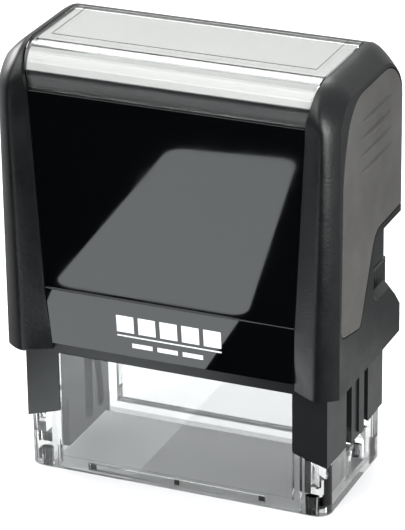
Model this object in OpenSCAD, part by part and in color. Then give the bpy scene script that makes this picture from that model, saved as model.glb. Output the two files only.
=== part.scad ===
// Self-inking stamp, rectangular imprint about 47 x 18 mm, resting on its open foot.
// Origin: centre of the footprint on the resting plane. +Z up, -Y front, +X right.
// The cap slides down over the frame. The bail under its roof pushes the die down,
// and the cam tracks in the frame turn the die over from the ink pad to the paper.

/* [Frame] */
// Width of the lower frame and of the clear foot, mm
frame_w = 60; // [50:0.5:70]
// Depth of the lower frame and of the clear foot, mm
frame_d = 28.8; // [24:0.2:36]
// Height of the lower edge of the front beam, mm
beam_z = 24.2; // [20:0.2:28]

/* [Cap] */
// Width of the cap over its side faces, mm
cap_w = 65.6; // [60:0.2:74]
// Depth of the cap, mm
cap_d = 36; // [32:0.5:42]
// Height of the cap's roof above the table, mm
cap_top = 84.5; // [78:0.5:92]
// Height of the cap's lower rim above the table, mm
cap_rim = 25.2; // [24:0.2:27]
// Wall of the cap's sides and rear, mm
cap_wall = 1.6; // [1.2:0.1:2.4]

/* [Die] */
// Width of the text plate, mm
die_w = 46.6; // [40:0.2:48]
// Depth of the text plate, mm
die_d = 17.6; // [14:0.2:18]
// Height of the die's pivot at rest, mm
pivot_z = 29; // [27:0.5:31]
// Distance from the pivot to the printing face, mm
face_h = 5.5; // [4:0.1:6]
// Distance from the pivot to the cam follower, mm
follow_r = 5.2; // [4:0.1:6]

/* [Travel] */
// How far the cap and the bail go down, mm
stroke = 23.5; // [20:0.5:24]

/* [Hidden] */
$fn = 48;
fx = frame_w / 2;
fy = frame_d / 2;
cx = cap_w / 2;
cy = cap_d / 2;
leg_x = 23.35;
guide_x = 24;
arm_x0 = 26.2;
arm_x1 = 27.8;
arm_y = 2.9;
pin_r = 1.45;
follow_pin_r = 1;
lean = 3.04;
tongue_y0 = -1.9;
tongue_y1 = 4.6;
tongue_hinge_z = 26;
// grip: centre, radius and last angle of its front shoulder, and radius of its front edge
grip_shoulder_at = [-4.3, 72.1];
grip_shoulder_r = 8;
grip_shoulder_end = 156;
grip_edge_r = 30;

// ---------- helpers ----------

// A box between two corners.
module box(a, b) {
  translate(a)
  cube([b[0] - a[0], b[1] - a[1], b[2] - a[2]]);
}

// A rectangle between two corners with round corners.
module rrect(a, b, r) {
  translate([a[0] + r, a[1]])
  square([b[0] - a[0] - 2 * r, b[1] - a[1]]);
  translate([a[0], a[1] + r])
  square([b[0] - a[0], b[1] - a[1] - 2 * r]);
  for (x = [a[0] + r, b[0] - r], y = [a[1] + r, b[1] - r])
    translate([x, y])
    circle(r = r);
}

// A flat shape drawn in (y, z), made solid from x0 to x1.
module along_x(x0, x1) {
  translate([x0, 0, 0])
  rotate([90, 0, 90])
  linear_extrude(height = x1 - x0)
  children();
}

// A flat shape drawn in (x, z), made solid from y0 to y1.
module along_y(y0, y1) {
  translate([0, y1, 0])
  rotate([90, 0, 0])
  linear_extrude(height = y1 - y0)
  children();
}

// A round bar along X.
module bar_x(x0, x1, y, z, r) {
  translate([x0, y, z])
  rotate([0, 90, 0])
  cylinder(r = r, h = x1 - x0);
}

// Both sides of the stamp, the left one mirrored from the right.
module both_sides() {
  children();
  mirror([1, 0, 0])
  children();
}

function arc(c, r, a0, a1, n) =
  [for (i = [0:n]) [c[0] + r * cos(a0 + (a1 - a0) * i / n), c[1] + r * sin(a0 + (a1 - a0) * i / n)]];

// ---------- lower frame, foot and pad ----------

// Where the follower's axis runs in the frame as the cap goes down, and the track's two edges.
function track_pt(t) =
  [-follow_r * cos(180 * t), pivot_z - stroke * t + follow_r * sin(180 * t)];
function track_dir(t) =
  let (a = track_pt(t - 0.01), b = track_pt(t + 0.01), d = [b[0] - a[0], b[1] - a[1]])
  [d[0], d[1]] / norm(d);
function track_edge(t, w) =
  let (p = track_pt(t), d = track_dir(t)) [p[0] - d[1] * w, p[1] + d[0] * w];

module cam_track(w) {
  polygon(concat(
    [for (i = [0:20]) track_edge(i / 20, w)],
    [for (i = [20:-1:0]) track_edge(i / 20, -w)]));
  for (t = [0, 1])
    translate(track_pt(t))
    circle(r = w);
}

// The region below the sloping underside of the legs, lowered by d.
module below_legs(d) {
  along_y(-20, 20)
  for (s = [-1, 1])
    scale([s, 1])
    polygon([[0, -1], [40, -1], [40, 6.79 - d], [leg_x, 12.3 - d], [0, 12.3 - d]]);
}

// The inner wall on one side that guides the pivot pin and turns the die over.
module guide_wall() {
  difference() {
    box([guide_x, -9, 2.2], [25.9, 9, 34]);
    along_x(guide_x - 1, 27)
    rrect([-1.7, pivot_z - stroke - 1.7], [1.7, pivot_z + 1.7], 1.69);
    along_x(guide_x - 1, guide_x + 1.25)
    cam_track(follow_pin_r + 0.3);
  }
}

// The spring's locating post on the frame's deck, with a hollow rim round it.
module spring_cup() {
  difference() {
    translate([0, 0, 43.2])
    cylinder(r = 8.6, h = 3.3);
    translate([0, 0, 43.6])
    cylinder(r = 7.2, h = 4);
  }
  translate([0, 0, 43.2])
  cylinder(r = 3.6, h = 5.3);
}

module frame_side() {
  difference() {
    box([guide_x, -fy, 6], [fx, fy, 49]);
    below_legs(0);
    // hollow inside, arm channel and tray bay
    box([0, -11, 0], [guide_x, 11, 41]);
    box([25.88, -3.3, 0], [28.12, 3.3, 60]);
    box([0, -11.6, 34.4], [25.9, 20, 41]);
    // pocket for the tray's handle wing
    box([25.4, 7.2, 27.7], [40, 20, 40.4]);
    box([20, 11.9, 27.7], [26, 20, 41]);
    // the hollow top rim
    box([0, -fy + 1.6, 43.6], [fx - 1.6, fy - 1.6, 60]);
    // opening round the lock button, and the bores of its two trunnions
    box([28, -4.6, 0], [40, 6.6, 27]);
    translate([29.3, -6, tongue_hinge_z])
    rotate([-90, 0, 0])
    cylinder(r = 0.65, h = 14);
    // pivot pin and follower stay free in the wall behind
    along_x(20, 26)
    rrect([-1.7, 0], [1.7, pivot_z + 1.7], 1.69);
    along_x(guide_x - 1, guide_x + 1.25)
    cam_track(follow_pin_r + 0.3);
  }
}

module base_frame() {
  color([0.07, 0.07, 0.075]) {
    both_sides() {
      frame_side();
      guide_wall();
      // the narrow part of each leg that edges the window, front and rear
      difference() {
        for (y = [-fy, 11])
          box([leg_x, y, 6], [guide_x + 0.1, y + 3.4, beam_z + 0.1]);
        below_legs(0);
      }
    }
    // front beam, rear beam and the wall above the front beam
    box([-guide_x - 0.1, -fy, beam_z], [guide_x + 0.1, -11.6, 49]);
    box([-guide_x - 0.1, -11.7, beam_z], [guide_x + 0.1, -11, 34.4]);
    box([-guide_x - 0.1, 11, beam_z], [guide_x + 0.1, fy, 27.7]);
    // the deck over the pad, and the rear wall above the handle
    box([-26, -13, 41], [26, 13, 43.6]);
    box([-26, fy - 1.6, 41], [26, fy, 49]);
    spring_cup();
  }
}

// The clear foot: corner blocks, low rails, side walls and two upright panes.
module clear_foot() {
  color([0.85, 0.88, 0.9, 0.4])
  difference() {
    union() {
      intersection() {
        difference() {
          linear_extrude(height = 13)
          rrect([-fx, -fy], [fx, fy], 2.6);
          box([-26.1, -11.2, -1], [26.1, 11.2, 14]);
          box([-24.4, -13.3, -1], [24.4, 0, 14]);
          box([-leg_x, -20, 2.5], [leg_x, 20, 14]);
          box([-28.12, -3.3, 2.1], [28.12, 3.3, 14]);
        }
        below_legs(0.1);
      }
      for (y = [-fy, fy - 1])
        box([-leg_x + 0.15, y, 2.4], [leg_x - 0.15, y + 1, beam_z - 0.1]);
    }
    // finger arch under each lock button
    for (x = [-40, 26])
      along_x(x, x + 14) {
        polygon(concat([[-2.05, 3], [4.75, 3]], arc([1.35, 5.8], 3.4, 0, 180, 12)));
        translate([-4.7, 9])
        square([11.4, 5]);
      }
    for (x = [-26.6, 26.6], y = [-12.8, 12.8])
      translate([x, y, -1])
      cylinder(r = 1.2, h = 4.6);
    // shallow groove for the positioning marks
    box([-17.8, -20, 0.75], [17.8, -fy + 0.5, 2.15]);
  }
}

module foot_pads() {
  color([0.05, 0.05, 0.05])
  for (x = [-26.6, 26.6], y = [-12.8, 12.8])
    translate([x, y, 0])
    cylinder(r = 1.2, h = 3.6);
}

// Printed positioning marks in the front groove: the middle and both ends of the imprint.
module position_marks() {
  color([0.08, 0.08, 0.08])
  for (m = [[-17.6, -16.4], [-0.5, 0.5], [16.4, 17.6]])
    box([m[0], -fy + 0.4, 0.85], [m[1], -fy + 0.5, 2.05]);
}

// The pad's tray, drawn out of the rear of the frame by its ribbed handle.
module ink_tray() {
  color([0.09, 0.09, 0.1])
  difference() {
    union() {
      box([-25.6, -11.3, 35.5], [25.6, 12.4, 40.6]);
      box([-30, 12.2, 28], [30, 15.4, 40.1]);
      for (x = [-30, 26.1])
        box([x, 7.5, 28], [x + 3.9, 13, 40.1]);
      box([-26, 12.2, 33], [26, 13.4, 40.1]);
    }
    box([-24.4, -9.9, 30], [24.4, 9.9, 39.2]);
    // grip ribs on both ends and on the back
    for (y = [8.4:1.1:14], x = [-31, 29.6])
      box([x, y, 29], [x + 1.4, y + 0.5, 39.2]);
    for (x = [-25:2:24])
      box([x, 15, 29.5], [x + 1, 16, 38.6]);
  }
}

module ink_pad() {
  color([0.04, 0.04, 0.07])
  box([-24.3, -9.8, 35.1], [24.3, 9.8, 39.2]);
}

// A lock button: a tongue hung by two trunnions in the side of the frame.
module lock_button() {
  box([28.8, tongue_y0, 9.4], [30, tongue_y1, 26.6]);
  box([29.9, 1.05, 10.5], [30.35, 1.65, 24.6]);
  translate([29.3, tongue_y0 - 3.5, tongue_hinge_z])
  rotate([-90, 0, 0])
  cylinder(r = 0.6, h = tongue_y1 - tongue_y0 + 6);
}

module lock_button_left() {
  color([0.08, 0.08, 0.085])
  mirror([1, 0, 0])
  lock_button();
}

module lock_button_right() {
  color([0.08, 0.08, 0.085])
  lock_button();
}

// ---------- return spring ----------

// Six points of the wire's section at angle a along the coil.
function wire_ring(a, z, r, w) =
  [for (k = [0:5]) [(r + w * cos(60 * k)) * cos(a), (r + w * cos(60 * k)) * sin(a), z + w * sin(60 * k)]];

module coil(r, w, z0, z1, turns, steps) {
  n = turns * steps;
  pts = [for (i = [0:n]) each wire_ring(360 * i / steps, z0 + (z1 - z0) * i / n, r, w)];
  sides = [for (i = [0:n - 1], k = [0:5])
    [i * 6 + k, i * 6 + (k + 1) % 6, (i + 1) * 6 + (k + 1) % 6, (i + 1) * 6 + k]];
  polyhedron(points = pts, faces = concat(
    [[5, 4, 3, 2, 1, 0]],
    [for (f = sides) [f[0], f[1], f[2], f[3]]],
    [[n * 6, n * 6 + 1, n * 6 + 2, n * 6 + 3, n * 6 + 4, n * 6 + 5]]), convexity = 8);
}

module return_spring() {
  color([0.62, 0.63, 0.65])
  coil(5.2, 0.45, 44.1, 79, 8, 20);
}

// ---------- cap ----------

// The cap's outline seen from the side: (y, z).
module cap_side_outline() {
  translate([-cy, cap_rim])
  square([cap_d, 72.5 - cap_rim]);
  translate([-cy, 60])
  square([16, 16.5]);
  translate([-10, 60])
  square([16, cap_top - 60]);
  translate([-10, 76.5])
  circle(r = 8);
  translate([6, 72.5])
  circle(r = 12);
}

// The cap's outline seen from above: (x, y).
module cap_plan_outline() {
  rrect([-cx, -cy], [cx, cy], 2.4);
}

// The space between the two cheeks, in front of y1, g narrower on both sides.
module panel_region(y1, z0, z1, g) {
  intersection() {
    box([-40, -40, z0], [40, y1, z1]);
    translate([24.1 - g, 0, 28.4])
    rotate([0, lean, 0])
    box([-100, -100, -100], [0, 100, 100]);
    translate([-24.1 + g, 0, 28.4])
    rotate([0, -lean, 0])
    box([0, -100, -100], [100, 100, 100]);
  }
}

// The space between the cheeks above the panel; it flares out towards the roof.
module window_region(y0, y1, z0, g) {
  intersection() {
    box([-40, y0, z0], [40, y1, 100]);
    translate([26.65 - g, 0, 76.6])
    rotate([0, 12, 0])
    box([-100, -100, -100], [0, 100, 100]);
    translate([-26.65 + g, 0, 76.6])
    rotate([0, -12, 0])
    box([0, -100, -100], [100, 100, 100]);
  }
}

// The window's outer line from the side, drawn in by d: (y, z).
module window_line(d) {
  translate([-16.6 + d, 70])
  square([30, 8.5]);
  translate([-10.6, 70])
  square([24, cap_top - 70 - d]);
  translate([-10.6, 78.5])
  circle(r = 6 - d);
}

// The grip inset's outline on the side of the cap: (y, z).
module grip_outline() {
  // a round toe, a sloping lower edge, a leaning edge and a hollow below the rear band
  toe = arc([-12.8, 38.4], 2, 180, 260, 5);
  heel = arc([-6.2, 36.7], 1.5, 260, 335, 5);
  hollow = arc([5, 46.5], 4.5, 155, 90, 5);
  rear_band = [[cy + 1, 51.2], [cy + 1, 69]];
  rear_shoulder = arc([6.2, 70.3], 9.8, 20, 90, 8);
  // the long front edge carries on from the front shoulder without a corner
  front_shoulder = arc(grip_shoulder_at, grip_shoulder_r, 90, grip_shoulder_end, 6);
  front_edge = arc(
    grip_shoulder_at + (grip_shoulder_r - grip_edge_r) * [cos(grip_shoulder_end), sin(grip_shoulder_end)],
    grip_edge_r, grip_shoulder_end + 7, 177, 2);
  polygon(concat(toe, heel, hollow, rear_band, rear_shoulder, front_shoulder, front_edge));
}

module cap_outer() {
  intersection() {
    along_x(-cx, cx)
    cap_side_outline();
    linear_extrude(height = 100)
    cap_plan_outline();
  }
}

// What a grip takes from the cap's outer skin on the right side, g bigger all round.
module grip_body(g) {
  intersection() {
    cap_outer();
    union() {
      along_x(cx - 0.9 - g, cx + 2)
      grip_outline();
      box([25.5 - g, cy - 0.9 - g, 51.2], [40, 30, 69]);
    }
  }
}

module cap_shell() {
  color([0.15, 0.15, 0.155])
  difference() {
    cap_outer();
    // inside
    box([-cx + cap_wall, -14.7, 0], [cx - cap_wall, cy - cap_wall, 70]);
    box([-cx + cap_wall, -14.7, 60], [cx - cap_wall, 15, 73.6]);
    box([-cx + cap_wall, -14.7, 60], [cx - cap_wall, 12, 76.5]);
    box([-cx + cap_wall + 2, -10.5, 60], [cx - cap_wall - 2, 6, 81.9]);
    // seat of the gloss panel, open behind its lower part
    panel_region(-15.6, 0, 76.6, 0);
    panel_region(-14, 0, 40.1, 0);
    // sloping front faces of the cheeks
    both_sides()
    translate([24.1, -15.3, 28.4])
    rotate([0, lean, 0])
    rotate([0, 0, -23])
    box([0, -50, -100], [100, 0, 100]);
    // seat of the card and window
    difference() {
      window_region(-40, 7.6, 76.6, 0);
      along_x(-50, 50)
      window_line(1.6);
    }
    // cut-out at the rear for the pad's handle
    along_x(-50, 50)
    polygon(concat(
      arc([4.2, 46.8], 1.6, 180, 90, 4),
      [[30, 48.4], [30, 30], [18, 30], [14, 34.5], [10.4, 37.7]],
      arc([3.8, 38.9], 1.2, 270, 180, 4)));
    both_sides()
    grip_body(0);
    // holes for the bail's two pegs
    for (x = [-14, 14])
      translate([x, 0, 80])
      cylinder(r = 1.5, h = 2.6);
  }
}

module front_panel() {
  color([0.02, 0.02, 0.022])
  intersection() {
    along_x(-40, 40)
    polygon([[-15.6, 26.6], [-16.6, 38.1], [-16.6, 76.55], [-15.6, 76.55],
             [-15.6, 40.05], [-14.75, 40.05], [-14.75, 26.6]]);
    panel_region(0, 0, 90, 0.06);
  }
}

// A generic printed mark on the lower strip of the panel: five squares, a rule and three short bars.
module front_print() {
  color([0.9, 0.9, 0.9])
  translate([0, -15.6, 26.6])
  rotate([4.97, 0, 0]) {
    for (i = [0:4])
      box([-10.4 + i * 4.3, -0.06, 5], [-7 + i * 4.3, 0, 8.4]);
    box([-10.4, -0.06, 4.1], [10.2, 0, 4.35]);
    for (i = [0:2])
      box([-7.5 + i * 5, -0.06, 2], [-3.5 + i * 5, 0, 2.9]);
  }
}

module index_window() {
  color([0.85, 0.88, 0.9, 0.4])
  intersection() {
    along_x(-40, 40)
    difference() {
      window_line(0);
      window_line(1.2);
    }
    window_region(-40, 7.55, 76.65, 0.06);
  }
}

module index_card() {
  color([0.88, 0.88, 0.86])
  intersection() {
    along_x(-40, 40)
    difference() {
      window_line(1.25);
      window_line(1.55);
    }
    window_region(-40, 7.4, 76.75, 1.2);
  }
}

module grip_right() {
  color([0.3, 0.3, 0.31])
  grip_body(0);
}

module grip_left() {
  color([0.3, 0.3, 0.31])
  mirror([1, 0, 0])
  grip_body(0);
}

// The bail under the cap's roof; the die hangs between its two arms.
module bail() {
  color([0.12, 0.12, 0.125])
  difference() {
    union() {
      box([-arm_x1, -arm_y, 79.5], [arm_x1, arm_y, 81.9]);
      for (x = [-arm_x1, arm_x0])
        along_x(x, x + arm_x1 - arm_x0) {
          translate([-arm_y, pivot_z])
          square([2 * arm_y, 80 - pivot_z]);
          translate([0, pivot_z])
          circle(r = arm_y);
        }
      translate([0, 0, 76.5])
      cylinder(r = 3.6, h = 4);
      for (x = [-14, 14])
        translate([x, 0, 80])
        cylinder(r = 1.5, h = 2.6);
    }
    bar_x(-40, 40, 0, pivot_z, pin_r + 0.05);
  }
}

// ---------- die ----------

module die_carrier() {
  color([0.1, 0.1, 0.105]) {
    box([-23.5, -8.6, pivot_z + 1.3], [23.5, 8.6, pivot_z + 2.9]);
    for (y = [-6.4, 5.4])
      box([-22, y, pivot_z + 0.2], [22, y + 1, pivot_z + 1.4]);
    for (x = [-12, 0, 12])
      box([x - 0.5, -6, pivot_z + 0.2], [x + 0.5, 6, pivot_z + 1.4]);
    both_sides() {
      along_x(21.9, 23.5) {
        circle_at([0, pivot_z], 2.4);
        circle_at([-follow_r, pivot_z], 1.8);
        translate([-7, pivot_z])
        square([14, 1.4]);
      }
      bar_x(23.4, arm_x1 - 0.1, 0, pivot_z, pin_r);
      bar_x(23.4, guide_x + 1, -follow_r, pivot_z, follow_pin_r);
    }
  }
}

module circle_at(p, r) {
  translate(p)
  circle(r = r);
}

module die_foam() {
  color([0.75, 0.72, 0.62])
  translate([0, 0, pivot_z + 2.9])
  box([-die_w / 2, -die_d / 2, 0], [die_w / 2, die_d / 2, 0.8]);
}

// The rubber text plate with a plain border and four plain bars.
module text_plate() {
  z = pivot_z + 3.7;
  top = pivot_z + face_h;
  color([0.45, 0.12, 0.1]) {
    box([-die_w / 2, -die_d / 2, z], [die_w / 2, die_d / 2, z + 1.1]);
    difference() {
      box([-22.6, -8.1, z + 1], [22.6, 8.1, top]);
      box([-21.9, -7.4, z], [21.9, 7.4, top + 1]);
    }
    for (i = [0:3])
      box([-18 + i, -5.9 + 3.3 * i, z + 1], [18 - i, -4.1 + 3.3 * i, top]);
  }
}

// ---------- pieces ----------

base_frame();
clear_foot();
foot_pads();
position_marks();
ink_tray();
ink_pad();
lock_button_left();
lock_button_right();
return_spring();
cap_shell();
front_panel();
front_print();
index_window();
index_card();
grip_left();
grip_right();
bail();
die_carrier();
die_foam();
text_plate();
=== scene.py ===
import bpy
import bmesh
import math
from mathutils import Matrix, Vector


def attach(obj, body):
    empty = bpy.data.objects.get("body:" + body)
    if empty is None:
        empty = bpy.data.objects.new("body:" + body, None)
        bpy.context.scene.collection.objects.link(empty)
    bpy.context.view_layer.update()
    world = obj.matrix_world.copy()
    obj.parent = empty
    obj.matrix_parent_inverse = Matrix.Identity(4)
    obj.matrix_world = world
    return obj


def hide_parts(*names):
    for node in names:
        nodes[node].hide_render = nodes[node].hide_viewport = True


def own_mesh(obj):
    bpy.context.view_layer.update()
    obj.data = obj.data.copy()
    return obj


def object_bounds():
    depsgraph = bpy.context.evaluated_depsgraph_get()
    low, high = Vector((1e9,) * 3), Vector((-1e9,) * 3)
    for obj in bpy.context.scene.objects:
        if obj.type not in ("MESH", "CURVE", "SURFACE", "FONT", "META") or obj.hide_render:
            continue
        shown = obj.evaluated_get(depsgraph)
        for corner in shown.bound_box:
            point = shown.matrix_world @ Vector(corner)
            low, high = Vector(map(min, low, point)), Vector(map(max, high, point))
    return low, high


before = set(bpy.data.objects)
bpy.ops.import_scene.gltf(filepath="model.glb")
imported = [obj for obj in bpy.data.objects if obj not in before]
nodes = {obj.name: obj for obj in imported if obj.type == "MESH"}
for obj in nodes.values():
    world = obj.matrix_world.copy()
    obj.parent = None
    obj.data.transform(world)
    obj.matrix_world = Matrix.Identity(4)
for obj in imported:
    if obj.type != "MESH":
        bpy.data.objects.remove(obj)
cad_low, cad_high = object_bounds()
MM = 0.001

# The cap in millimetres, with y and z as in the CAD model.
CAP_X, CAP_Y, TOP = (round(v / MM, 2) for v in cad_high)
RIM = 25.2
CHEEK_FALL = 2.3            # how far a cheek falls back at the cap's side face
PANEL_TOP = 76.6
CREASE = 38.1               # height of the fold in the gloss panel
WINDOW_CENTRE = (-10.6, 78.5)
WINDOW_R = 6.0
WINDOW_END = 7.6            # where the window stops on the roof
SHOULDER = (-4.3, 72.1, 8.0)  # centre and radius of the grip's front shoulder
SHOULDER_END = 156          # where the shoulder goes over into the long front edge
GRIP_EDGE_R = 30.0
FAR = 40                    # well outside the cap, for cutting shapes


# ---------------------------------------------------------------- small helpers

def clamp(v, lo=0.0, hi=1.0):
    return max(lo, min(hi, v))


def smooth(t):
    t = clamp(t)
    return t * t * (3 - 2 * t)


def arc(cy, cz, r, a0, a1, n):
    return [(cy + r * math.cos(math.radians(a0 + (a1 - a0) * i / n)),
             cz + r * math.sin(math.radians(a0 + (a1 - a0) * i / n))) for i in range(n + 1)]


def panel_x(z):
    """Half width between the cheeks at height z, beside the gloss panel."""
    return 24.1 + 0.0531 * (z - 28.4)


def window_x(z):
    """Half width between the cheeks at height z, beside the window."""
    return 26.66 + 0.2126 * (z - PANEL_TOP)


def make(name, verts, faces, angle=32):
    me = bpy.data.meshes.new(name)
    me.from_pydata([(x * MM, y * MM, z * MM) for x, y, z in verts], [], faces)
    bm = bmesh.new()
    bm.from_mesh(me)
    bmesh.ops.remove_doubles(bm, verts=bm.verts, dist=1e-7)
    bmesh.ops.recalc_face_normals(bm, faces=bm.faces)
    bm.to_mesh(me)
    bm.free()
    ob = bpy.data.objects.new(name, me)
    bpy.context.collection.objects.link(ob)
    shade(ob, angle)
    return ob


def shade(ob, angle=32):
    for p in ob.data.polygons:
        p.use_smooth = True
    ob.data.set_sharp_from_angle(angle=math.radians(angle))


def bake(ob, angle=32):
    dg = bpy.context.evaluated_depsgraph_get()
    me = bpy.data.meshes.new_from_object(ob.evaluated_get(dg))
    ob.modifiers.clear()
    ob.data = me
    shade(ob, angle)


def combine(ob, other, how="DIFFERENCE", keep=False):
    m = ob.modifiers.new("combine", "BOOLEAN")
    m.operation = how
    m.object = other
    m.solver = "EXACT"
    bake(ob)
    if not keep:
        bpy.data.objects.remove(other)


def bevel(ob, width, segments=2, angle=35, dissolve=False, harden=False):
    if dissolve:
        d = ob.modifiers.new("flat", "DECIMATE")
        d.decimate_type = "DISSOLVE"
        d.angle_limit = math.radians(1.5)
    b = ob.modifiers.new("edge", "BEVEL")
    b.width = width * MM
    b.segments = segments
    b.limit_method = "ANGLE"
    b.angle_limit = math.radians(angle)
    b.use_clamp_overlap = True
    b.harden_normals = harden


def even(ob):
    """Flat faces keep flat shading where they meet a rounded edge."""
    w = ob.modifiers.new("even", "WEIGHTED_NORMAL")
    w.keep_sharp = True
    w.weight = 60


def loft(name, outline, half, angle=32):
    """A solid whose section is outline, (y, z); half(y, z) is its half width."""
    n = len(outline)
    verts = [(-half(y, z), y, z) for y, z in outline] + [(half(y, z), y, z) for y, z in outline]
    faces = [list(range(n)), list(range(n, 2 * n))]
    faces += [[i, (i + 1) % n, n + (i + 1) % n, n + i] for i in range(n)]
    return make(name, verts, faces, angle)


def prism_x(name, outline, x0, x1, outline1=None):
    """A solid from outline at x0 to outline1 at x1."""
    other = outline1 or outline
    n = len(outline)
    verts = [(x0, y, z) for y, z in outline] + [(x1, y, z) for y, z in other]
    faces = [list(range(n)), list(range(n, 2 * n))]
    faces += [[i, (i + 1) % n, n + (i + 1) % n, n + i] for i in range(n)]
    return make(name, verts, faces)


def box(name, a, b):
    ys = [(a[1], a[2]), (b[1], a[2]), (b[1], b[2]), (a[1], b[2])]
    return prism_x(name, ys, a[0], b[0])


def grown(outline, d):
    """The outline moved outwards by d; the outline runs anticlockwise in (y, z)."""
    n = len(outline)
    area = sum(y0 * z1 - y1 * z0 for (y0, z0), (y1, z1) in zip(outline, outline[1:] + outline[:1]))
    s = 1 if area > 0 else -1
    out = []
    for i in range(n):
        (y0, z0), (y1, z1), (y2, z2) = outline[i - 1], outline[i], outline[(i + 1) % n]
        a, b = Vector((y1 - y0, z1 - z0)), Vector((y2 - y1, z2 - z1))
        a.normalize()
        b.normalize()
        na, nb = Vector((a.y, -a.x)) * s, Vector((b.y, -b.x)) * s
        m = na + nb
        m.normalize()
        k = d / max(0.45, m.dot(na))
        out.append((y1 + m.x * k, z1 + m.y * k))
    return out


def mirrored(ob, name):
    me = ob.data.copy()
    for v in me.vertices:
        v.co.x = -v.co.x
    me.flip_normals()
    other = bpy.data.objects.new(name, me)
    bpy.context.collection.objects.link(other)
    return other


# ---------------------------------------------------------------- materials

def material(name, color, rough, **sockets):
    m = bpy.data.materials.new(name)
    m.use_nodes = True
    b = m.node_tree.nodes["Principled BSDF"]
    b.inputs["Base Color"].default_value = (*color, 1)
    b.inputs["Roughness"].default_value = rough
    for k, v in sockets.items():
        b.inputs[k.replace("_", " ")].default_value = v
    return m


def node(m, kind, **values):
    n = m.node_tree.nodes.new(kind)
    for k, v in values.items():
        if hasattr(n, k):
            setattr(n, k, v)
        else:
            n.inputs[k.replace("_", " ")].default_value = v
    return n


def wire(m, a, out, b, inp):
    m.node_tree.links.new(a.outputs[out], b.inputs[inp])


def object_space(m):
    return node(m, "ShaderNodeTexCoord")


def noise(m, at, scale, detail=3.0, rough=0.6, stretch=None):
    n = node(m, "ShaderNodeTexNoise", Scale=scale, Detail=detail, Roughness=rough)
    if stretch:
        mp = node(m, "ShaderNodeMapping")
        mp.inputs["Scale"].default_value = stretch
        wire(m, at, "Object", mp, "Vector")
        wire(m, mp, "Vector", n, "Vector")
    else:
        wire(m, at, "Object", n, "Vector")
    return n


def ramp(m, source, out, stops):
    r = node(m, "ShaderNodeValToRGB")
    els = r.color_ramp.elements
    while len(els) < len(stops):
        els.new(0.5)
    for e, (pos, col) in zip(els, stops):
        e.position = pos
        e.color = (*col, 1) if len(col) == 3 else col
    wire(m, source, out, r, "Fac")
    return r


def vary(m, source, lo, hi, socket, a=0.3, b=0.7):
    """Drives a shader socket with a noise between lo and hi."""
    p = m.node_tree.nodes["Principled BSDF"]
    if isinstance(lo, tuple):
        r = ramp(m, source, "Fac", [(a, lo), (b, hi)])
        wire(m, r, "Color", p, socket)
    else:
        r = node(m, "ShaderNodeMapRange")
        r.inputs["From Min"].default_value = a
        r.inputs["From Max"].default_value = b
        r.inputs["To Min"].default_value = lo
        r.inputs["To Max"].default_value = hi
        wire(m, source, "Fac", r, "Value")
        wire(m, r, "Result", p, socket)
    return r


def bump(m, source, out, distance, strength=1.0, after=None):
    b = node(m, "ShaderNodeBump", Strength=strength, Distance=distance)
    wire(m, source, out, b, "Height")
    if after:
        wire(m, after, "Normal", b, "Normal")
    wire(m, b, "Normal", m.node_tree.nodes["Principled BSDF"], "Normal")
    return b


def moulded(name, lo, hi, rough, grain=2600, depth=0.00002, spread=0.08, **sockets):
    """Moulded plastic with a spark-eroded grain, faint flow marks and handling wear."""
    m = material(name, lo, rough, **sockets)
    at = object_space(m)
    broad = noise(m, at, 55, 4, 0.65)
    vary(m, broad, lo, hi, "Base Color", 0.35, 0.68)
    fine = noise(m, at, grain, 2, 0.5)
    rub = noise(m, at, 160, 5, 0.7)
    vary(m, rub, rough - spread, rough + spread, "Roughness")
    first = bump(m, rub, "Fac", depth * 0.6, 0.35)
    bump(m, fine, "Fac", depth, 0.8, first)
    return m


def gloss_black(name):
    """Deep black with a clear surface and a faint polishing haze."""
    m = material(name, (0.0012, 0.0013, 0.0016), 0.045, Coat_Weight=0.35, Coat_Roughness=0.02)
    at = object_space(m)
    haze = noise(m, at, 90, 5, 0.7)
    vary(m, haze, 0.015, 0.05, "Roughness")
    fine = noise(m, at, 42, 2, 0.5)
    bump(m, fine, "Fac", 0.00004, 0.12)
    return m


def clear(name, tint, rough):
    """Clear plastic with soft moulding ripples."""
    m = material(name, tint, rough, Transmission_Weight=1.0, IOR=1.47)
    at = object_space(m)
    ripple = noise(m, at, 70, 3, 0.5)
    vary(m, ripple, rough * 0.6, rough * 1.6, "Roughness")
    bump(m, ripple, "Fac", 0.00006, 0.08)
    return m


def paper(name):
    """Smooth card with fibres."""
    m = material(name, (0.80, 0.80, 0.77), 0.7)
    at = object_space(m)
    fibre = noise(m, at, 900, 4, 0.7, (1, 6, 6))
    vary(m, fibre, (0.56, 0.565, 0.545), (0.62, 0.62, 0.60), "Base Color")
    bump(m, fibre, "Fac", 0.00002, 0.4)
    return m


def ink(name, lo, hi):
    """Printed ink with slightly uneven colour and gloss."""
    m = material(name, lo, 0.5)
    at = object_space(m)
    cover = noise(m, at, 1500, 3, 0.6)
    vary(m, cover, lo, hi, "Base Color")
    vary(m, cover, 0.38, 0.6, "Roughness")
    return m


def felt(name):
    m = material(name, (0.006, 0.006, 0.012), 0.95, Sheen_Weight=0.3)
    at = object_space(m)
    nap = noise(m, at, 1400, 6, 0.8)
    vary(m, nap, (0.004, 0.004, 0.010), (0.014, 0.014, 0.026), "Base Color")
    bump(m, nap, "Fac", 0.00025, 0.9)
    return m


def open_foam(name):
    m = material(name, (0.55, 0.50, 0.38), 0.95)
    at = object_space(m)
    cells = node(m, "ShaderNodeTexVoronoi", Scale=2600)
    wire(m, at, "Object", cells, "Vector")
    tone = ramp(m, cells, "Distance", [(0.1, (0.38, 0.34, 0.25)), (0.6, (0.60, 0.55, 0.43))])
    wire(m, tone, "Color", m.node_tree.nodes["Principled BSDF"], "Base Color")
    bump(m, cells, "Distance", 0.0002, 0.8)
    return m


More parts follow.
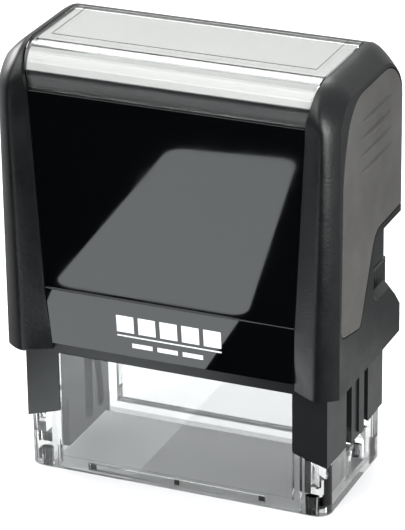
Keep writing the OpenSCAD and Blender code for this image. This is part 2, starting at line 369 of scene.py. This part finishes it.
def drawn_steel(name):
    m = material(name, (0.50, 0.51, 0.52), 0.28, Metallic=1.0)
    at = object_space(m)
    draw = noise(m, at, 500, 4, 0.6, (1, 1, 4))
    vary(m, draw, 0.2, 0.4, "Roughness")
    bump(m, draw, "Fac", 0.00003, 0.3)
    return m


cap_plastic = moulded("cap_charcoal", (0.0026, 0.0033, 0.0037), (0.0046, 0.0055, 0.0060), 0.36,
                      grain=1700, depth=0.00004, Specular_IOR_Level=0.44)
frame_plastic = moulded("frame_black", (0.0065, 0.0075, 0.0082), (0.0100, 0.0110, 0.0118), 0.34,
                        grain=3000, depth=0.00001, spread=0.05)
tray_plastic = moulded("tray_black", (0.014, 0.015, 0.016), (0.020, 0.021, 0.022), 0.45, grain=3000)
bail_plastic = moulded("bail_black", (0.016, 0.017, 0.018), (0.023, 0.024, 0.025), 0.38, grain=3000)
grip_plastic = moulded("grip_grey", (0.060, 0.059, 0.0565), (0.082, 0.081, 0.077), 0.66,
                       grain=3200, depth=0.00003, spread=0.06, Specular_IOR_Level=0.06)
panel_gloss = gloss_black("panel_gloss")
foot_clear = clear("clear_plastic", (0.85, 0.86, 0.86), 0.03)
window_clear = clear("window_plastic", (0.97, 0.98, 0.98), 0.02)
card_paper = paper("card_white")
print_white = ink("print_white", (0.74, 0.76, 0.78), (0.86, 0.87, 0.88))
print_black = ink("print_black", (0.010, 0.010, 0.012), (0.03, 0.03, 0.033))
pad_rubber = moulded("rubber_black", (0.010, 0.010, 0.010), (0.018, 0.018, 0.018), 0.75, grain=2500)
plate_rubber = moulded("plate_rubber", (0.23, 0.045, 0.03), (0.30, 0.065, 0.045), 0.62,
                       grain=1800, depth=0.00003)
pad_felt = felt("pad_felt")
die_foam = open_foam("foam")
steel = drawn_steel("spring_steel")


def dress(ob, mat):
    ob.data.materials.clear()
    ob.data.materials.append(mat)


def smooth_edges(ob, width, segments, angle=30):
    """Rounds the edges of a piece that is cut and finished, with flat faces kept flat."""
    bevel(ob, width, segments, 40)
    bake(ob, angle)


# ---------------------------------------------------------------- cap

def side_profile():
    """Points (y, z, normal y, normal z) up the front, over the roof and down the rear."""
    pts = []
    for z in [RIM, 25.6, 26.4, 28, 30, 33, 36, 38, CREASE, 41.5, 45, 50, 55, 60, 65, 70, 74]:
        pts.append((-CAP_Y, z, -1, 0))
    for i in range(15):
        a = math.radians(180 - 90 * i / 14)
        pts.append((-10 + 8 * math.cos(a), 76.5 + 8 * math.sin(a), math.cos(a), math.sin(a)))
    for y in [-7, -3, 1, 4]:
        pts.append((y, TOP, 0, 1))
    for i in range(17):
        a = math.radians(90 - 90 * i / 16)
        pts.append((6 + 12 * math.cos(a), 72.5 + 12 * math.sin(a), math.cos(a), math.sin(a)))
    for z in [68, 62, 56, 50, 46, 42, 38, 34, 31, 28, 26.4, 25.6, RIM]:
        pts.append((CAP_Y, z, 1, 0))
    return pts


def cheek_depth(x, y, z):
    """How far the skin lies behind the cap's outline at x: each cheek is a soft ridge."""
    x = abs(x)
    over = smooth((z - 74) / 9) if y < -8 else 1.0
    inner = panel_x(min(z, PANEL_TOP))
    ridge = (0.45 * inner + 0.55 * CAP_X) * (1 - over) + 28.8 * over
    if x > ridge:
        roof = smooth((z - 74) / 9)
        return (CHEEK_FALL + 1.0 * roof) * ((x - ridge) / (CAP_X - ridge)) ** (1.75 - 0.4 * roof)
    deep = (1.45 + 1.5 * smooth((CREASE - z) / 14)) * (1 - over)
    return deep * clamp((ridge - x) / (ridge - inner)) ** 1.2


def cap_skin(name):
    prof = side_profile()
    # close columns over the ridge, wide ones over the middle
    cols = [CAP_X, 32.5, 32.1, 31.6, 31.1, 30.5, 29.9, 29.3, 28.8]
    cols += [28.3 - 0.55 * i for i in range(12)] + [12.0]
    cols = cols + [0.0] + [-x for x in reversed(cols)]
    verts, m, n = [], len(cols), len(prof)
    for y, z, ny, nz in prof:
        for x in cols:
            inset = cheek_depth(x, y, z)
            verts.append((x, y - ny * inset, z - nz * inset))
    faces = [[r * m + c, r * m + c + 1, (r + 1) * m + c + 1, (r + 1) * m + c]
             for r in range(n - 1) for c in range(m - 1)]
    faces.append([r * m for r in range(n)])
    faces.append([r * m + m - 1 for r in range(n)])
    faces.append([c for c in range(m)] + [(n - 1) * m + c for c in reversed(range(m))])
    return make(name, verts, faces)


# Cut-out at the cap's rear, open behind, with two rounded corners.
WAIST = ([(2.6, 40.1)] + arc(4.4, 46.6, 1.8, 180, 90, 6)
         + [(30, 48.4), (30, 30.0), (18, 30.0), (14, 34.5), (10.4, 37.7)]
         + arc(4.1, 39.2, 1.5, 270, 180, 6))


def carried_on(cy, cz, r, turn, wider):
    """Centre of an arc of radius wider that carries on from the arc (cy, cz, r) at angle turn."""
    a = math.radians(turn)
    return cy + (r - wider) * math.cos(a), cz + (r - wider) * math.sin(a)


def grip_outline():
    """A round toe, a sloping lower edge, a leaning edge, a hollow below the rear band, two shoulders."""
    toe = arc(-12.8, 38.4, 2.0, 180, 260, 8)
    heel = arc(-6.2, 36.7, 1.5, 260, 335, 8)
    hollow = arc(5.0, 46.5, 4.5, 155, 90, 8)
    rear_band = [(CAP_Y + 3, 51.2), (CAP_Y + 3, 69)]
    rear_shoulder = arc(6.2, 70.3, 9.8, 20, 90, 12)
    front_shoulder = arc(*SHOULDER, 90, SHOULDER_END, 10)
    edge_y, edge_z = carried_on(*SHOULDER, SHOULDER_END, GRIP_EDGE_R)
    front_edge = arc(edge_y, edge_z, GRIP_EDGE_R, SHOULDER_END + 4, 177, 5)
    return toe + heel + hollow + rear_band + rear_shoulder + front_shoulder + front_edge


GRIP = grip_outline()


def side_box(s, x, y, z0, z1):
    """A box on side s of the cap, from x outwards and from y to the rear."""
    return box("c", (min(s * x, s * FAR), y, z0), (max(s * x, s * FAR), 30, z1))


def cap_shell():
    """The cap's skin, hollowed in four steps, with seats for panel, window, card and grips."""
    shell = cap_skin("cap_shell_skin")
    for a, b in (((-31.2, -14.7, 20), (31.2, 16.4, 70)),
                 ((-31.2, -14.7, 60), (31.2, 15, 73.6)),
                 ((-31.2, -14.7, 60), (31.2, 12, 76.5)),
                 ((-29.2, -10.5, 60), (29.2, 6, 81.9))):
        combine(shell, box("c", a, b))
    panel_seat = [(-30, 20), (-14.7, 20), (-14.7, 40.1), (-15.6, 40.1), (-15.6, PANEL_TOP), (-30, PANEL_TOP)]
    combine(shell, loft("c", panel_seat, lambda y, z: panel_x(z)))
    window_seat = [(-30, PANEL_TOP - 0.01), (-15.0, PANEL_TOP - 0.01)]
    window_seat += arc(*WINDOW_CENTRE, 4.4, 180, 90, 14)
    window_seat += [(WINDOW_END, TOP - 1.6), (WINDOW_END, 95), (-30, 95)]
    combine(shell, loft("c", window_seat, lambda y, z: window_x(z)))
    combine(shell, prism_x("c", WAIST, -FAR, FAR))
    for s in (-1, 1):
        # sloping lip of the cut-out, then the grip's seat and its wrap round the rear edge
        combine(shell, prism_x("c", grown(WAIST, 0.02), s * 31.5, s * 33.2, grown(WAIST, 1.5)))
        combine(shell, prism_x("c", grown(GRIP, 0.22), s * 31.85, s * 36))
        combine(shell, side_box(s, 25.3, 17.1, 51.0, 69.2))
        combine(shell, side_box(s, 31.3, 15.2, 51.0, 69.2))
    smooth_edges(shell, 0.28, 2, 40)
    even(shell)
    shell.name = "cap_shell_skin"
    dress(shell, cap_plastic)
    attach(shell, "cap")
    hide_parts("cap_shell")


def grip_inset():
    """The skin inside the grip's outline, with its wrap round the rear edge."""
    skin = cap_skin("grip_blank")
    grip = prism_x("grip_right_inset", GRIP, 31.9, 36)
    combine(grip, box("c", (25.5, 17.15, 51.2), (36, 30, 69)), "UNION")
    combine(grip, box("c", (31.4, 15.3, 51.2), (36, 30, 69)), "UNION")
    combine(grip, skin, "INTERSECT")
    smooth_edges(grip, 0.3, 3, 40)
    even(grip)
    return grip


def wave(y0, y1, z, x, height):
    """A long low scallop: steep above, fading out below."""
    verts, faces, nu, nv = [], [], 28, 10
    for i in range(nu + 1):
        u = i / nu
        swell = math.sin(math.pi * u) ** 0.55
        for j in range(nv + 1):
            v = j / nv
            h = height * swell * (smooth(v / 0.22) if v < 0.22 else 1 - smooth((v - 0.22) / 0.78))
            verts.append((x - 0.05 + h, y0 + (y1 - y0) * u, z + 0.35 - v * 2.0 * (0.35 + 0.65 * swell)))
    w = nv + 1
    for i in range(nu):
        for j in range(nv):
            faces.append([i * w + j, i * w + j + 1, (i + 1) * w + j + 1, (i + 1) * w + j])
    k = len(verts)
    verts += [(x - 0.4, v[1], v[2]) for v in verts]
    for i in range(nu):
        for j in range(nv):
            faces.append([k + i * w + j + 1, k + i * w + j, k + (i + 1) * w + j, k + (i + 1) * w + j + 1])
    rim = [i * w for i in range(nu + 1)] + [nu * w + j for j in range(1, w)] \
        + [i * w + nv for i in reversed(range(nu))] + [j for j in reversed(range(1, nv))]
    for a, b in zip(rim, rim[1:] + rim[:1]):
        faces.append([a, b, k + b, k + a])
    return make("grip_waves", verts, faces, 60)


def grips():
    """Both grips, each with four shallow waves for the thumb."""
    right = grip_inset()
    waves = [wave(-6.2, 10.2, z, CAP_X, 0.5) for z in (74.5, 71.4, 68.2, 65.0)]
    for ob in [right] + waves:
        dress(ob, grip_plastic)
    left = mirrored(right, "grip_left_inset")
    even(left)
    for ob, node_name in ((right, "grip_right"), (left, "grip_left")):
        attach(ob, "cap")
        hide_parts(node_name)
    for i, w in enumerate(waves):
        w.name = f"grip_right_wave_{i + 1}"
        other = mirrored(w, f"grip_left_wave_{i + 1}")
        for ob in (w, other):
            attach(ob, "cap")


def front_panel():
    """The gloss panel, creased above the printed strip."""
    line = [(-14.75, 26.6), (-14.75, 40.05), (-15.58, 40.05), (-15.58, 76.5), (-16.55, 76.5),
            (-16.55, CREASE + 0.4), (-16.5, CREASE + 0.14), (-16.6, CREASE), (-15.6, 26.6)]
    panel = loft("front_panel_gloss", line, lambda y, z: panel_x(z) - 0.12)
    smooth_edges(panel, 0.22, 3)
    even(panel)
    dress(panel, panel_gloss)
    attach(panel, "cap")
    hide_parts("front_panel")


def index_window():
    """The curved clear window, 1.2 mm thick, with a fine line moulded round the writing field."""
    outer = [(-16.6, 76.75)] + arc(*WINDOW_CENTRE, WINDOW_R, 180, 90, 18) + [(7.5, TOP)]
    inner = [(-15.4, 76.75)] + arc(*WINDOW_CENTRE, 4.8, 180, 90, 18) + [(7.5, TOP - 1.2)]
    window = loft("index_window_clear", outer + inner[::-1], lambda y, z: window_x(z) - 0.12)
    smooth_edges(window, 0.3, 3)
    for a, b in (((-25.6, -8.3), (25.6, -8.02)), ((-25.6, -8.3), (-25.32, 9)), ((25.32, -8.3), (25.6, 9))):
        combine(window, box("c", (*a, TOP - 0.14), (*b, TOP + 1)))
    even(window)
    dress(window, window_clear)
    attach(window, "cap")
    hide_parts("index_window")


def index_card():
    """The card behind the window's front, joined with the card under its flat top."""
    outer_r, inner_r = 4.74, 4.47
    front = arc(*WINDOW_CENTRE, outer_r, 163, 112, 12) + arc(*WINDOW_CENTRE, inner_r, 163, 112, 12)[::-1]
    card = loft("index_card_paper", front, lambda y, z: 26.7 + 0.12 * (z - 76.6))
    top = arc(*WINDOW_CENTRE, outer_r, 104, 90, 4) + [(6.9, TOP - 1.27)]
    top += [(6.9, TOP - 1.54)] + arc(*WINDOW_CENTRE, inner_r, 104, 90, 4)[::-1]
    combine(card, loft("c", top, lambda y, z: 27.5), "UNION")
    dress(card, card_paper)
    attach(card, "cap")
    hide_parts("index_card")


cap_shell()
grips()
front_panel()
index_window()
index_card()

# ---------------------------------------------------------------- CAD nodes that keep their shape

kept = {
    "base_frame": (frame_plastic, 0.25),
    "clear_foot": (foot_clear, 0.3),
    "foot_pads": (pad_rubber, 0.1),
    "position_marks": (print_black, 0.0),
    "ink_tray": (tray_plastic, 0.12),
    "ink_pad": (pad_felt, 0.3),
    "lock_button_left": (frame_plastic, 0.15),
    "lock_button_right": (frame_plastic, 0.15),
    "front_print": (print_white, 0.0),
    "bail": (bail_plastic, 0.2),
    "die_carrier": (bail_plastic, 0.2),
    "die_foam": (die_foam, 0.0),
    "text_plate": (plate_rubber, 0.1),
}
for name, (mat, width) in kept.items():
    ob = nodes[name]
    dress(ob, mat)
    if width:
        bevel(ob, width, 2, 35, dissolve=True, harden=True)

# ---------------------------------------------------------------- return spring

def spring_mesh(name):
    """A coil of round wire with closed ends and an even pitch between them."""
    r, w, z0, z1, turns = 5.2, 0.45, 44.1, 79.0, 8
    per, ring = 40, 12
    n = turns * per
    end = 1.0 / turns
    closed = 0.35 * 2 * w / (z1 - z0) * 2.6
    verts, faces = [], []
    for i in range(n + 1):
        a = 2 * math.pi * i / per
        t = i / n
        if t < end:
            f = closed * t / end
        elif t > 1 - end:
            f = 1 - closed * (1 - t) / end
        else:
            f = closed + (1 - 2 * closed) * (t - end) / (1 - 2 * end)
        z = z0 + (z1 - z0) * f
        for k in range(ring):
            b = 2 * math.pi * k / ring
            out = r + w * math.cos(b)
            verts.append((out * math.cos(a), out * math.sin(a), z + w * math.sin(b)))
    for i in range(n):
        this, following = i * ring, (i + 1) * ring
        for k in range(ring):
            k1 = (k + 1) % ring
            faces.append([this + k, this + k1, following + k1, following + k])
    faces.append(list(range(ring)))
    faces.append([n * ring + k for k in range(ring)])
    return make(name, verts, faces, 60)


spring = spring_mesh("return_spring_wire")
dress(spring, steel)
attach(spring, "base")
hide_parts("return_spring")
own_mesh(spring)

# ---------------------------------------------------------------- floor, light and camera

floor_mesh = bpy.data.meshes.new("floor")
floor_mesh.from_pydata([(-3, -3, 0), (3, -3, 0), (3, 3, 0), (-3, 3, 0)], [], [(0, 1, 2, 3)])
floor = bpy.data.objects.new("floor", floor_mesh)
bpy.context.collection.objects.link(floor)
floor_mat = material("floor_pale", (0.82, 0.825, 0.835), 0.9)
floor.data.materials.append(floor_mat)
floor.visible_glossy = False

def rounded(corners, r, n=6):
    """The corners of a flat sheet, each rounded by a short curve that starts r from it."""
    out = []
    for i, c in enumerate(corners):
        c, a, b = Vector(c), Vector(corners[i - 1]), Vector(corners[(i + 1) % len(corners)])
        p, q = c + (a - c).normalized() * r, c + (b - c).normalized() * r
        out += [p * (1 - t) ** 2 + c * 2 * t * (1 - t) + q * t * t for t in [k / n for k in range(n + 1)]]
    return out


def sheet(name, corners, r, strength):
    """A glowing sheet just below the floor, in millimetres, hidden from camera, diffuse and shadow rays,
    that shows only in glossy surfaces as a painted reflection.
    """
    pts = rounded(corners, r)
    mesh = bpy.data.meshes.new(name)
    mesh.from_pydata([(p.x * MM, p.y * MM, -2 * MM) for p in pts], [], [list(range(len(pts)))])
    ob = bpy.data.objects.new(name, mesh)
    bpy.context.collection.objects.link(ob)
    m = bpy.data.materials.new(name)
    m.use_nodes = True
    m.node_tree.nodes.clear()
    em = node(m, "ShaderNodeEmission")
    em.inputs["Color"].default_value = (0.93, 0.98, 1.0, 1)
    em.inputs["Strength"].default_value = strength
    wire(m, em, "Emission", node(m, "ShaderNodeOutputMaterial"), "Surface")
    ob.data.materials.append(m)
    ob.visible_camera = False
    ob.visible_diffuse = False
    ob.visible_transmission = False
    ob.visible_shadow = False


# Painted reflections, seen only in glossy surfaces: two white sheets in front of the stamp with a dark gap
# between them stand in for a lit table, and a grey one behind its right side is painted shadow, the stamp's
# shadow on the floor.
sheet("painted_reflection_sheet_far", [(-63, -97), (-71, -178), (-40, -182), (-18, -97)], 5, 2.6)
sheet("painted_reflection_sheet_near", [(-53, -72), (-42, -18), (-11, -18), (-11, -72)], 1, 2.6)
sheet("painted_shadow_sheet", [(45, 60), (80, 70), (150, 240), (60, 280)], 5, 0.12)

def math_node(m, operation, a, b):
    """A Math node of two inputs, each a (node, output) pair or a number."""
    n = node(m, "ShaderNodeMath", operation=operation)
    for i, v in enumerate((a, b)):
        if isinstance(v, tuple):
            wire(m, v[0], v[1], n, i)
        else:
            n.inputs[i].default_value = v
    return n


def studio_world():
    """White beside and behind the stamp, brighter overhead, dark in front of it.

    The camera always sees plain white, and so does the view through clear plastic towards the back.
    """
    w = bpy.data.worlds.new("studio")
    bpy.context.scene.world = w
    w.use_nodes = True
    w.node_tree.nodes.clear()
    at = node(w, "ShaderNodeTexCoord")
    axes = node(w, "ShaderNodeSeparateXYZ")
    wire(w, at, "Generated", axes, 0)
    behind = node(w, "ShaderNodeMapRange", From_Min=-0.62, From_Max=-0.25, To_Min=0.0, To_Max=0.62)
    wire(w, axes, "Y", behind, "Value")
    above = node(w, "ShaderNodeMapRange", From_Min=0.55, From_Max=0.85, To_Min=0.0, To_Max=1.0)
    wire(w, axes, "Z", above, "Value")
    backdrop = node(w, "ShaderNodeMapRange", From_Min=0.45, From_Max=0.75, To_Min=0.0, To_Max=1.0)
    wire(w, axes, "Y", backdrop, "Value")
    power = math_node(w, "MAXIMUM", (behind, "Result"), (above, "Result"))
    white = (1, 1, 1, 1)
    studio = node(w, "ShaderNodeBackground", Color=white)
    wire(w, power, "Value", studio, "Strength")
    plain = node(w, "ShaderNodeBackground", Color=white, Strength=1.05)
    path = node(w, "ShaderNodeLightPath")
    direct = math_node(w, "LESS_THAN", (path, "Diffuse Depth"), 0.5)
    clear_view = math_node(w, "MULTIPLY", (direct, "Value"), (path, "Is Transmission Ray"))
    through = math_node(w, "MULTIPLY", (clear_view, "Value"), (backdrop, "Result"))
    seen = math_node(w, "MAXIMUM", (path, "Is Camera Ray"), (through, "Value"))
    mix = node(w, "ShaderNodeMixShader")
    wire(w, seen, "Value", mix, 0)
    wire(w, studio, "Background", mix, 1)
    wire(w, plain, "Background", mix, 2)
    wire(w, mix, 0, node(w, "ShaderNodeOutputWorld"), "Surface")


studio_world()


def area(name, at, to, size, power):
    lamp = bpy.data.lights.new(name, "AREA")
    lamp.shape = "RECTANGLE"
    lamp.size, lamp.size_y = size
    lamp.energy = power
    ob = bpy.data.objects.new(name, lamp)
    bpy.context.collection.objects.link(ob)
    ob.location = at
    ob.rotation_euler = (Vector(to) - Vector(at)).to_track_quat("-Z", "Y").to_euler()
    return ob


for lamp in (
        area("softbox_top", (-0.235, -0.30, 0.56), (0, 0, 0.08), (0.46, 0.36), 1.9),
        area("softbox_front", (-0.20, -0.48, 0.30), (0, 0, 0.06), (0.40, 0.30), 1.0),
        area("softbox_left", (-0.58, 0.20, 0.27), (0, 0, 0.06), (0.35, 0.30), 3.0),
        area("softbox_right", (0.47, 0.43, 0.13), (0, 0, 0.06), (0.30, 0.28), 1.7),
        area("softbox_low_right", (0.115, -0.105, 0.075), (0.03, 0.0, 0.06), (0.06, 0.09), 0.20),
        area("softbox_rear", (-0.05, 0.50, 0.75), (0, 0, 0.05), (0.7, 0.4), 7.0)):
    lamp.visible_camera = False
    # softbox_right would show as a hard white patch in the flat window, seen from the left
    lamp.visible_glossy = lamp.name != "softbox_right"

def photo_camera():
    """A long lens at the photograph's angle: right, up and back are the camera's own axes."""
    azimuth, elevation, roll = math.radians(23.404), math.radians(24.125), math.radians(-0.802)
    aim, distance = Vector((0.0, -0.0005, 0.03995)), 0.5902
    back = Vector((math.sin(azimuth) * math.cos(elevation),
                   -math.cos(azimuth) * math.cos(elevation),
                   math.sin(elevation)))
    at = aim + back * distance
    level = back.cross(Vector((0, 0, -1))).normalized()
    upright = back.cross(level).normalized()
    right = level * math.cos(roll) + upright * math.sin(roll)
    up = upright * math.cos(roll) - level * math.sin(roll)
    lens = bpy.data.cameras.new("camera")
    lens.lens = 217.8
    lens.sensor_width = 36
    lens.clip_start = 0.01
    cam = bpy.data.objects.new("camera", lens)
    bpy.context.collection.objects.link(cam)
    cam.matrix_world = Matrix((
        (right.x, up.x, back.x, at.x),
        (right.y, up.y, back.y, at.y),
        (right.z, up.z, back.z, at.z),
        (0, 0, 0, 1)))
    bpy.context.scene.camera = cam


bpy.context.scene.view_settings.view_transform = "Standard"
bpy.context.scene.view_settings.look = "None"
photo_camera()
